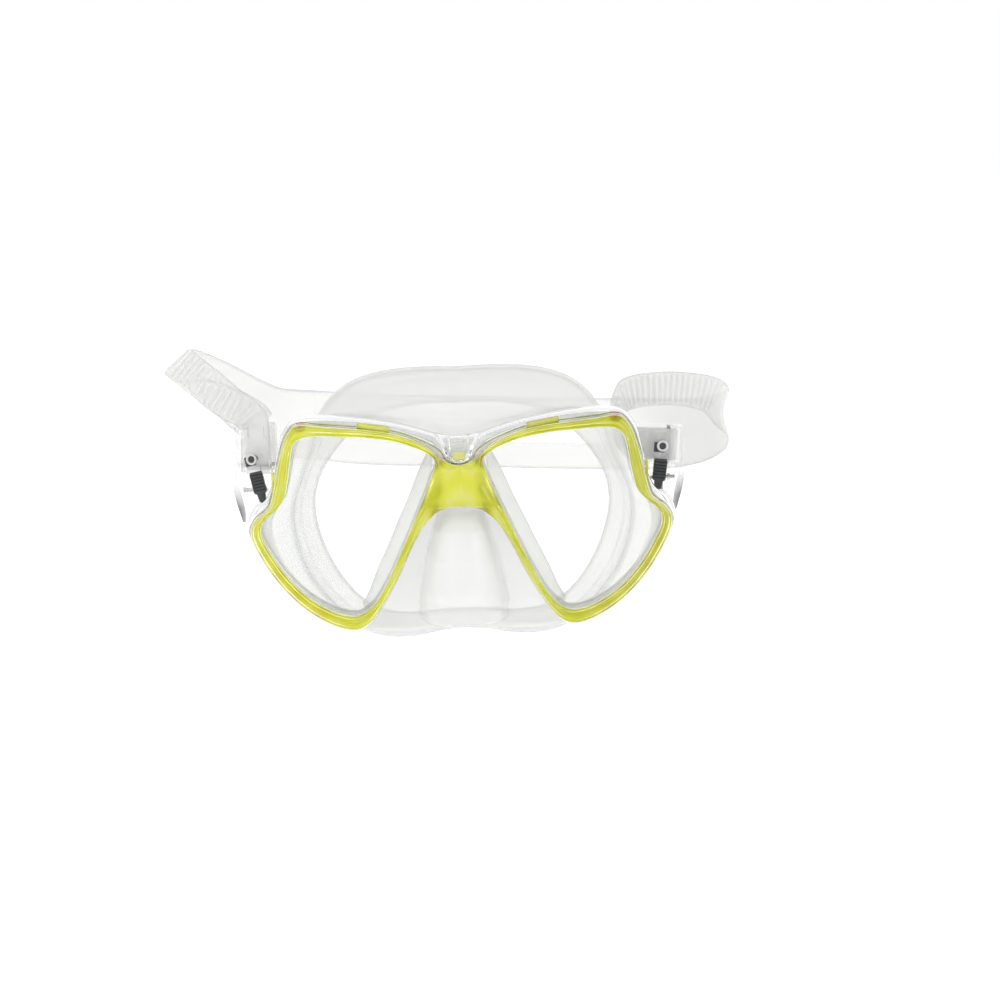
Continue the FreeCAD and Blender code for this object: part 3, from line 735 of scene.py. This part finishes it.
def nose_pocket_shade(x, z):
    """Painted shade on the nose pocket: a little greyer over it, greyest in lines where it leaves
    the front sheet.
    """
    plain = 0.08
    if not -47.5 < z < -4:
        return plain
    wide = 6.4 + 9 * min(1.0, (-z - 2) / 36) ** 0.8
    inside = plain + 0.14 * max(0.0, min(1.0, (wide - abs(x)) / 1.5))
    return inside + 0.4 * max(0.0, 1 - abs(abs(x) - wide) / 1.4)


SHEET_ROWS = 26
# The "edge" value down each strip of the skirt: lens seat, side wall, rim, flap and its lip.
SEAT_EDGES = [0.8, 0.5]
WALL_EDGES = [-0.1, -0.12, -0.12, -0.12, -0.1]
RIM_EDGES = [0.25, 0.7, 0.3]
FLAP_EDGES = [-0.1, -0.05, 0.3, -0.05, -0.1, -0.1, 0.1, 0.55]


def sheet_section(target, outer):
    """One strip of the front sheet, from the lens seat outwards."""
    start = crossing(LENS_CURVE, target)
    length = math.dist(CENTRE, target)
    x, z = at(target, start + 0.25 / length)
    column = [(x, lens_front(x) + 3.7, z)]
    x, z = at(target, start + 0.9 / length)
    column.append((x, SHEET_FRONT - 1.7 + wrap(x), z))
    foot = start + 2.2 / length
    for step in range(SHEET_ROWS):
        fraction = foot + (1.0 - foot) * step / (SHEET_ROWS - 1)
        if outer:
            fraction = min(fraction, 1.0)
        x, z = at(target, fraction)
        column.append((x, SHEET_FRONT + wrap(x) - nose_depth(x, z), z))
    return column


def wall_section(foot, middle, feather):
    """One strip of the side wall, the thick rim and the flap that turns in to the face."""
    x0, z0 = foot
    x1, z1 = middle
    x3, z3 = feather
    rim_y = face_depth(x1)
    front_y = SHEET_FRONT + wrap(x0)
    strip = []
    for share in (0.12, 0.3, 0.5, 0.7, 0.86):
        ease = share ** 0.8
        strip.append((x0 + (x1 - x0) * ease, front_y + (rim_y - 1.6 - front_y) * share,
                      z0 + (z1 - z0) * ease))
    bulge = 1.012
    pinch = 0.995
    strip.append((x1, rim_y - 1.8, z1))
    strip.append((x1 * bulge, rim_y - 0.4, z1 * bulge))
    strip.append((x1 * pinch, rim_y + 0.3, z1 * pinch))
    crease = 0.34
    for share in (0.14, 0.3, crease, 0.38, 0.55, 0.75, 0.92, 1.0):
        x = x1 + (x3 - x1) * share
        z = z1 + (z3 - z1) * share
        ridge = 0.7 if share == crease else 0.0
        strip.append((x, face_depth(x) - 0.5 - ridge - 1.8 * share * share, z))
    return strip


marks = boundary(SKIRT_FRONT, 130, 90)
columns = [sheet_section(target, outer) for target, outer in marks]
edges = []
for column in columns:
    edges.extend(SEAT_EDGES + [nose_pocket_shade(x, z) for x, _, z in column[2:]])
tall = len(columns[0])
faces = grid_faces(len(columns), tall, closed=True)
# The wall grows from the outer end of each strip of the sheet.
outline = [target for target, outer in marks if outer]
walls = [wall_section(*points) for points in zip(outline, smooth(SKIRT_MIDDLE, len(outline)),
                                                 smooth(FEATHER_EDGE, len(outline)))]
edges.extend((WALL_EDGES + RIM_EDGES + FLAP_EDGES) * len(walls))
base = len(columns) * tall
long = len(walls[0])
for index in range(len(walls) - 1):
    here = index * tall + tall - 1
    faces.append((here, base + index * long, base + (index + 1) * long, here + tall))
faces += grid_faces(len(walls), long, base)
skirt = mesh_piece("skirt_soft", flatten(columns + walls), faces, "mask", SKIRT, "skirt")
mark(skirt, "edge", edges)
mirror(skirt)
thicken(skirt, 1.5)
subdivide(skirt)

# Flange of the skirt that widens behind each lens along the nose.
LENS_INNER = [(10, 17.4), (10.9, 9.6), (14.8, 0), (18.8, -9), (23, -18.3), (27.6, -27.4),
              (32.6, -35.9), (38, -40.8)]
FLANGE = [(11.4, 18.2), (15.6, 10), (19.8, 0), (24, -9), (28.2, -18.3), (32.4, -27.1),
          (36, -35.9), (38.7, -40.5)]
FLANGE_STEPS = 60
FLANGE_SHARES = (0.0, 0.3, 0.6, 0.88, 1.0)
vertices = []
edges = []
for (ax, az), (bx, bz) in zip(smooth(LENS_INNER, FLANGE_STEPS), smooth(FLANGE, FLANGE_STEPS)):
    for share in FLANGE_SHARES:
        x = ax + (bx - ax) * share
        z = az + (bz - az) * share
        vertices.append((x, lens_front(ax) + 4.0 + 7.4 * share ** 0.8, z))
        edges.append(0.6 if share == 1.0 else 0.15)
flange = mesh_piece("skirt_lens_flange", vertices, grid_faces(FLANGE_STEPS, len(FLANGE_SHARES)),
                    "mask", SKIRT)
mark(flange, "edge", edges)
mirror(flange)
thicken(flange, 1.0)
subdivide(flange)


# ---------------------------------------------------------------- strap
# Distance of each rivet from the middle, mm, and the turns of its arm and housing, degrees.
BUCKLES = {
    "left": (76.6, 4.0, -85.0),
    "right": (-76.6, -16.0, 0.0),
}
STRAP_THICK = 1.5
RIB_PITCH = 2.5
# Shares of the half width: where ribs end, where the raised border lies, where the edge is grey.
RIBS_WITHIN = 0.86
BORDER = (0.9, 0.985)
GREY_EDGE = 0.93


def arm_point(side, x, y, z):
    """A point of a buckle arm's own frame, in the frame of the whole mask."""
    rivet, yaw, _ = BUCKLES[side]
    turn = math.radians(yaw)
    return (rivet + x * math.cos(turn) - y * math.sin(turn),
            RIVET_DEPTH + x * math.sin(turn) + y * math.cos(turn), RIVET_HEIGHT + z)


def buckle_point(side, x, y, z):
    """A point of a buckle's own frame, in the frame of the whole mask."""
    tilt = math.radians(BUCKLES[side][2])
    return arm_point(side, x * math.cos(tilt) + z * math.sin(tilt), y,
                     -x * math.sin(tilt) + z * math.cos(tilt))


def buckle_way(side, x, y, z):
    """A direction of a buckle's own frame, in the frame of the whole mask."""
    origin = buckle_point(side, 0, 0, 0)
    end = buckle_point(side, x, y, z)
    return tuple(end[k] - origin[k] for k in range(3))


def strap_profile(count):
    """Places across a strap, from -1 to 1, with the half thickness there; the edges are round."""
    places = []
    for column in range(count):
        u = -1 + 2 * column / (count - 1)
        u = math.copysign(abs(u) ** 0.8, u)
        edge = min(1.0, (1 - abs(u)) / 0.1)
        places.append((u, STRAP_THICK / 2 * math.sqrt(max(0.05, 1 - (1 - edge) ** 2))))
    return places


def strap_faces(rows, across, slot, end_cap):
    """Faces of a strap of closed rings; a slot leaves out the middle and walls its two sides."""
    around = 2 * across
    if not slot:
        faces = grid_faces(rows, around, tube=True)
    else:
        faces = []
        low = across // 2 - 2
        high = across // 2 + 2
        first = int(slot[0] * (rows - 1))
        last = int(slot[1] * (rows - 1))
        for index in range(rows - 1):
            here = index * around
            beside = here + around
            split = first <= index < last
            for column in range(around):
                following = (column + 1) % around
                opposite = around - 1 - column
                if split and (low <= column < high or low < opposite <= high):
                    continue
                faces.append((here + column, here + following,
                              beside + following, beside + column))
            if split:
                for column in (low, high):
                    back = around - 1 - column
                    faces.append((here + column, beside + column, beside + back, here + back))
        start = first * around
        for column in range(low, high):
            back = around - 1 - column
            faces.append((start + column, start + column + 1, start + back - 1, start + back))
    if end_cap:
        end = (rows - 1) * around
        faces.append(tuple(end + column for column in reversed(range(around))))
    return faces


def strap_mesh(name, stations, body, node=None, ribs=None, crest=0.45, slot=None, step=0.42,
               tip=None, grey_and_shade=0.0, fading=False, end_cap=False):
    """A soft strap with rounded edges through stations of centre, across, normal, width.

    ribs is (first, last) as shares of the length that carry cross ribs on the outer face, with
    painted shade in the valleys between them, crest their height, slot is (first, last) as
    shares that are split down the middle, and tip the length of a rounded end. The grey argument
    is how grey it looks: an even grey, plus painted shade where one side's strap is greyer than
    the other. fading takes the grey away along the last fifth.
    """
    flat = [tuple(c) + tuple(a) + tuple(n) + (w,) for c, a, n, w in stations]
    rough = smooth(flat, 200)
    length = sum(math.dist(p[:3], q[:3]) for p, q in zip(rough, rough[1:]))
    rows = max(12, int(length / step))
    line = smooth(flat, rows)
    profile = strap_profile(21 if slot else 15)
    edges = []
    vertices = []
    for index, row in enumerate(line):
        before = Vector(line[max(index - 1, 0)][:3])
        after = Vector(line[min(index + 1, rows - 1)][:3])
        along = (after - before).normalized()
        middle = Vector(row[:3])
        side_way = Vector(row[3:6])
        side_way = (side_way - along * side_way.dot(along)).normalized()
        outward = side_way.cross(along).normalized()
        if outward.dot(Vector(row[6:9])) < 0:
            outward = -outward
        half = row[9] / 2
        share = index / (rows - 1)
        left_over = (1 - share) * length
        if tip and left_over < tip:
            half *= math.sqrt(max(0.02, 1 - (1 - left_over / tip) ** 2))
        ribbed = bool(ribs) and ribs[0] < share < ribs[1]
        rise = 0.0
        if ribbed:
            phase = (share * length / RIB_PITCH) % 1.0
            rise = crest * max(0.0, min(1.0, 1.6 * math.sin(math.pi * phase) ** 2 - 0.25))
        grey = grey_and_shade * (min(1.0, (1 - share) / 0.2) if fading else 1.0)
        shades = []
        for u, thick in profile:
            lift = rise if abs(u) < RIBS_WITHIN else 0.0
            border = 0.3 if ribbed and BORDER[0] < abs(u) < BORDER[1] else 0.0
            point = middle + side_way * half * u + outward * (thick + lift + border)
            vertices.append(tuple(point))
            shade = 1.0 if abs(u) > GREY_EDGE else grey
            # Painted shade: greyer and denser in the valleys between the ribs.
            if ribbed and abs(u) < RIBS_WITHIN:
                shade = grey + 0.48 * (1 - rise / crest)
            shades.append(shade)
        for u, thick in reversed(profile):
            vertices.append(tuple(middle + side_way * half * u - outward * thick))
        edges.extend(shades)
        edges.extend(0.8 if shade == 1.0 else min(shade, grey) for shade in reversed(shades))
    faces = strap_faces(rows, len(profile), slot, end_cap)
    piece = mesh_piece(name, vertices, faces, body, STRAP, node)
    mark(piece, "edge", edges)
    return piece


# Stations of the strap from each buckle round to the headband.
RUNS = {
    "right": [
        ((-79.5, -20, 31.2), (0.93, 0, 0.3), (-0.3, -1, 0.2), 12.6),
        ((-87.5, -14.5, 34.6), (0.72, 0, 0.69), (-0.4, -1, 0.3), 13.4),
        ((-97.5, -6, 41.8), (0.7, 0, 0.71), (-0.6, -1, 0.3), 14),
        ((-105.5, 1, 47.4), (0.75, 0, 0.66), (-0.7, -0.7, 0.4), 14),
        ((-109.6, 6.5, 50.1), (0.77, 0, 0.64), (-0.75, 0.1, 0.6), 14.4),
        ((-107.4, 12.4, 48.4), (0.76, 0, 0.65), (-0.2, 0.95, 0.1), 15.2),
        ((-97.5, 19.4, 41), (0.62, 0, 0.78), (-0.5, 1, 0), 18.5),
        ((-84, 27.4, 29.4), (0.3, 0, 0.95), (-0.5, 1, 0), 23.5),
        ((-74, 33, 22.6), (0.08, 0, 1), (-0.4, 1, 0), 27.2),
        ((-60.1, 38.5, 20), (0, 0, 1), (-0.2, 1, 0), 28),
    ],
    "left": [
        ((62.4, -19.4, 19.6), (0.1, 0.1, 1), (1, 0.6, 0), 12.2),
        ((60.2, -13, 27), (0, -0.2, 1), (1, -0.3, 0), 12.6),
        ((65.5, -5.6, 32.8), (0, 0, 1), (0.4, -1, 0), 13),
        ((78.7, 2, 33.8), (0.03, 0, 1), (0.5, -1, 0), 13.2),
        ((91.2, 8.5, 32.2), (0.1, 0, 1), (0.6, -1, 0), 13.6),
        ((100.4, 14.5, 28.8), (0.15, 0, 1), (0.9, -0.7, 0), 15),
        ((104.6, 21, 22.8), (0.1, 0, 1), (1, 0.3, 0), 18.4),
        ((102.4, 26.4, 17.6), (0.05, 0, 1), (0.6, 1, 0), 22.4),
        ((95.4, 30.4, 13.8), (0, 0, 1), (0.4, 1, 0), 26),
        ((84, 34.2, 12.2), (0, 0, 1), (0.3, 1, 0), 28.4),
        ((72, 36.8, 12.1), (0, 0, 1), (0.25, 1, 0), 29),
        ((60.1, 38.8, 12.3), (0, 0, 1), (0.15, 1, 0), 29),
    ],
}
HEADBAND = [
    ((-60.2, 38.5, 20), (0, 0, 1), (0.1, 1, 0), 28),
    ((-40, 41.5, 17.4), (0, 0, 1), (0.1, 1, 0), 29),
    ((-15, 43.4, 15.5), (0, 0, 1), (0, 1, 0), 29),
    ((15, 43.4, 14), (0, 0, 1), (0, 1, 0), 29),
    ((40, 41.8, 12.8), (0, 0, 1), (-0.1, 1, 0), 29),
    ((60, 38.8, 12.3), (0, 0, 1), (-0.15, 1, 0), 29),
]
TONGUES = {
    "right": [((-81.6, 33.4), 12.4), ((-88.6, 37.6), 12.4), ((-96, 42), 12), ((-101.6, 44.6), 11)],
    "left": [((63.3, 16.7), 10.4)],
}
NARROW = 12
# Ways in a buckle's own frame, and the strap's route in it: down behind the roller, round the
# roller and up in front.
BACK = (0, 1, 0)
UNDER = (0, 0, -1)
FRONT = (0, -1, 0)
THREAD = [
    ((0, 1.45, 13), BACK), ((0, 1.45, 4), BACK), ((0, 1.45, -3), BACK),
    ((0, 0.62, -5.02), UNDER), ((0, -1.4, -5.85), UNDER), ((0, -3.42, -5.02), UNDER),
    ((0, -4.25, -3), FRONT), ((0, -4.25, 4), FRONT), ((0, -4.25, 12.6), FRONT),
]
# How grey each side's strap looks: an even grey, and more on the wearer's left as painted shade,
# where the key lamp falls less.
STRAP_GREY_AND_SHADE = {"left": 0.45, "right": 0.15}
TIP = {"left": 3, "right": 17}
strap_mesh("headband_soft", HEADBAND, "mask", "strap_headband", slot=(0.12, 1.0), step=1.0,
           grey_and_shade=0.06)
for side in ("left", "right"):
    across = buckle_way(side, 1, 0, 0)
    outward = buckle_way(side, *FRONT)

    # Threaded end, and the loose tongue that leaves the front of the buckle.
    loop = [(buckle_point(side, *place), across, buckle_way(side, *way), NARROW)
            for place, way in THREAD]
    start = loop[-1][0]
    last = start
    for (x, z), width in TONGUES[side]:
        out = 0.14 * math.dist((x, z), (start[0], start[2]))
        here = (x, start[1] - out, z)
        way = (here[2] - last[2], 0, last[0] - here[0])
        loop.append((here, way, outward, width))
        last = here
    strap_mesh(side + "_tail_soft", loop, side + "_buckle", side + "_strap_tail",
               ribs=(0.6, 0.96), crest=0.16, tip=TIP[side], grey_and_shade=STRAP_GREY_AND_SHADE[side], end_cap=True)

    # Run from the buckle to the headband, in two pieces so that each crosses one joint.
    run = RUNS[side]
    facing = outward if side == "right" else buckle_way(side, *BACK)
    low = (buckle_point(side, 0, 1.45, 12.4), across, facing, NARROW)
    first = strap_mesh(side + "_exit_soft", [low, run[0], run[1]], None, ribs=(0.0, 1.0),
                       grey_and_shade=STRAP_GREY_AND_SHADE[side])
    second = strap_mesh(side + "_run_soft", run[1:], None, side + "_strap_bend",
                        ribs=(0.0, 0.46), grey_and_shade=STRAP_GREY_AND_SHADE[side], fading=True)
    [c * MM for c in low[0]]
    [c * MM for c in run[1][0]]
    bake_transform(first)
    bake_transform(second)

# ---------------------------------------------------------------- buckles
def arm_place(side):
    """Maps points of a buckle arm's own frame to the frame of the whole mask."""
    def place(x, y, z):
        return arm_point(side, x, y, z)

    return place


def latch_mesh(side, lean):
    """Ribbed pad with a leg below, leaning about the rivet."""
    place = arm_place(side)
    ribs = 7
    steps = ribs * 6
    pad_back = -8.0
    rows = []
    for step in range(steps + 1):
        share = step / steps
        bump = 0.42 * max(0.0, math.sin(math.pi * ((share * ribs) % 1.0))) ** 0.6
        end = min(1.0, share * 12, (1 - share) * 12)
        rows.append((-5.0 - 8.3 * share, 2.55 - 0.35 * (1 - end), -9.15 - bump * end))
    for z, half in ((-13.6, 1.7), (-15.2, 1.5), (-16.6, 1.2)):
        rows.append((z, half, -8.9))
    angle = math.radians(lean)
    bevel = 0.4
    corner_depth = 0.35
    vertices = []
    for z, half, front_y in rows:
        edge_y = front_y + corner_depth
        for x, y in ((-half, pad_back), (-half, edge_y), (-half + bevel, front_y),
                     (half - bevel, front_y), (half, edge_y), (half, pad_back)):
            vertices.append(place(x * math.cos(angle) + z * math.sin(angle), y,
                                  -x * math.sin(angle) + z * math.cos(angle)))
    corners = 6
    faces = grid_faces(len(rows), corners, tube=True)
    faces.append(tuple(range(corners)))
    faces.append(tuple((len(rows) - 1) * corners + corner for corner in reversed(range(corners))))
    piece = mesh_piece(side + "_latch_pad", vertices, faces, side + "_latch", GREY,
                       side + "_latch", shade=False)
    root = block(side + "_latch_root", ((-1.7, 1.7), (-8.3, -5.2), (-13.4, -11)), side + "_latch",
                 GREY, place, 0.3, lean)


def ring_mesh(side, radius, wire, depth):
    """A moulded ring round the rivet."""
    turns = 36
    parts = 10
    vertices = []
    for turn in range(turns):
        angle = 2 * math.pi * turn / turns
        for part in range(parts):
            twist = 2 * math.pi * part / parts
            reach = radius + wire * math.cos(twist)
            vertices.append(buckle_point(side, reach * math.cos(angle),
                                         depth + wire * math.sin(twist),
                                         reach * math.sin(angle)))
    faces = grid_faces(turns, parts, closed=True, tube=True)
    ring = mesh_piece(side + "_rivet_ring", vertices, faces, side + "_buckle", RING)


def leaf_mesh(side, hand):
    """Thin curved blade of the arm, outside the latch; hand is the side it lies on."""
    place = arm_place(side)
    steps = 24
    shares = (0.0, 0.33, 0.66, 1.0)
    outline = [(8.2, 2.5, 1.0), (8.7, -4, 1.7), (8.4, -10, 2.4), (7.4, -16, 2.9), (5.9, -21, 2.3),
               (4.7, -24.4, 0.8)]
    vertices = []
    tones = []
    for x, z, wide in smooth(outline, steps):
        for share in shares:
            across = x - wide * share
            vertices.append(place(hand * across, -8.1 - 0.7 * math.sin(math.pi * share), z))
            tones.append(max(0.0, min(1.0, (-9 - z) / 10)) * (1 - 0.5 * share))
    faces = grid_faces(steps, len(shares))
    leaf = mesh_piece(side + "_arm_leaf", vertices, faces, side + "_arm", SMOKED)
    mark(leaf, "tone", tones)
    thicken(leaf, 0.5)
    subdivide(leaf)


for side, lean in (("right", -12.7), ("left", 7.6)):
    latch_mesh(side, lean)
    leaf_mesh(side, -1 if side == "right" else 1)
    ring_mesh(side, 1.75, 0.45, -9.35)
    hook = block(side + "_latch_hook", ((-3.1, 1.0), (-8.75, -8.35), (-2.5, 1.2)), side + "_arm",
                 GREY, arm_place(side), 0.15, lean)
    soften(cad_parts[side + "_housing"], 0.4)
    soften(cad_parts[side + "_arm"], 0.35)

# ---------------------------------------------------------------- camera and light
# How far the camera stands from the middle of the mask, m, and how far it is shifted along
# the tilted picture, mm: towards the wearer's left and down.
DISTANCE = 1.0417
SHIFT_LEFT = 14.8125
SHIFT_DOWN = 0.1875
elevation = math.radians(8)
roll = math.radians(1.9)
target = Vector((0.0, -0.05, 0.0))
camera_data = bpy.data.cameras.new("camera")
camera = bpy.data.objects.new("camera", camera_data)
scene.collection.objects.link(camera)
camera_data.lens = 100
camera_data.sensor_width = 36
camera_data.clip_start = 0.01
view_dir = Vector((0, math.cos(elevation), -math.sin(elevation)))
camera.location = target - view_dir * DISTANCE
camera.rotation_euler = view_dir.to_track_quat("-Z", "Y").to_euler()
camera.rotation_euler.rotate_axis("Z", -roll)
right = Vector((1, 0, 0))
up = Vector((0, math.sin(elevation), math.cos(elevation)))
across = SHIFT_LEFT * MM
down = SHIFT_DOWN * MM
camera.location += right * (across * math.cos(roll) - down * math.sin(roll))
camera.location -= up * (across * math.sin(roll) + down * math.cos(roll))
scene.camera = camera


def area(name, place, size, power):
    """A square lamp that points at the middle of the mask."""
    data = bpy.data.lights.new(name, "AREA")
    data.size = size
    data.energy = power
    light = bpy.data.objects.new(name, data)
    light.location = place
    scene.collection.objects.link(light)
    light.rotation_euler = (-light.location).to_track_quat("-Z", "Y").to_euler()


area("key", (-0.45, -0.65, 0.75), 0.6, 2.6)
area("fill", (0.8, -0.5, 0.35), 0.5, 1.3)

# A white room that is darker in front of the mask, so clear edges catch grey lines.
world = bpy.data.worlds.new("studio")
scene.world = world
world.use_nodes = True
sky = world.node_tree
background = sky.nodes["Background"]
direction = sky.nodes.new("ShaderNodeTexCoord")
split = sky.nodes.new("ShaderNodeSeparateXYZ")
ramp = sky.nodes.new("ShaderNodeMapRange")
ramp.inputs["From Min"].default_value = -0.9
ramp.inputs["From Max"].default_value = 0.5
ramp.inputs["To Min"].default_value = 0.42
ramp.inputs["To Max"].default_value = 1.0
path = sky.nodes.new("ShaderNodeLightPath")
pick = sky.nodes.new("ShaderNodeMix")
pick.inputs["B"].default_value = 1.0
sky.links.new(direction.outputs["Generated"], split.inputs["Vector"])
sky.links.new(split.outputs["Y"], ramp.inputs["Value"])
sky.links.new(path.outputs["Is Camera Ray"], pick.inputs["Factor"])
sky.links.new(ramp.outputs["Result"], pick.inputs["A"])
sky.links.new(pick.outputs["Result"], background.inputs["Strength"])
background.inputs["Color"].default_value = (1, 1, 1, 1)
scene.view_settings.view_transform = "Standard"
scene.cycles.transparent_max_bounces = 32
scene.cycles.max_bounces = 16
scene.cycles.transmission_bounces = 16

floor_mesh = bpy.data.meshes.new("floor")
FLOOR = -0.064
REACH = 6
corners = [(x * REACH, y * REACH, FLOOR) for x, y in ((-1, -1), (1, -1), (1, 1), (-1, 1))]
floor_mesh.from_pydata(corners, [], [(0, 1, 2, 3)])
floor = bpy.data.objects.new("floor", floor_mesh)
scene.collection.objects.link(floor)
floor_material, floor_tree, floor_shader = principled("floor_paper")
floor_shader.inputs["Base Color"].default_value = (0.97, 0.97, 0.97, 1)
floor_shader.inputs["Roughness"].default_value = 0.9
floor_shader.inputs["Emission Color"].default_value = (1, 1, 1, 1)
floor_shader.inputs["Emission Strength"].default_value = 0.34
floor_mesh.materials.append(floor_material)
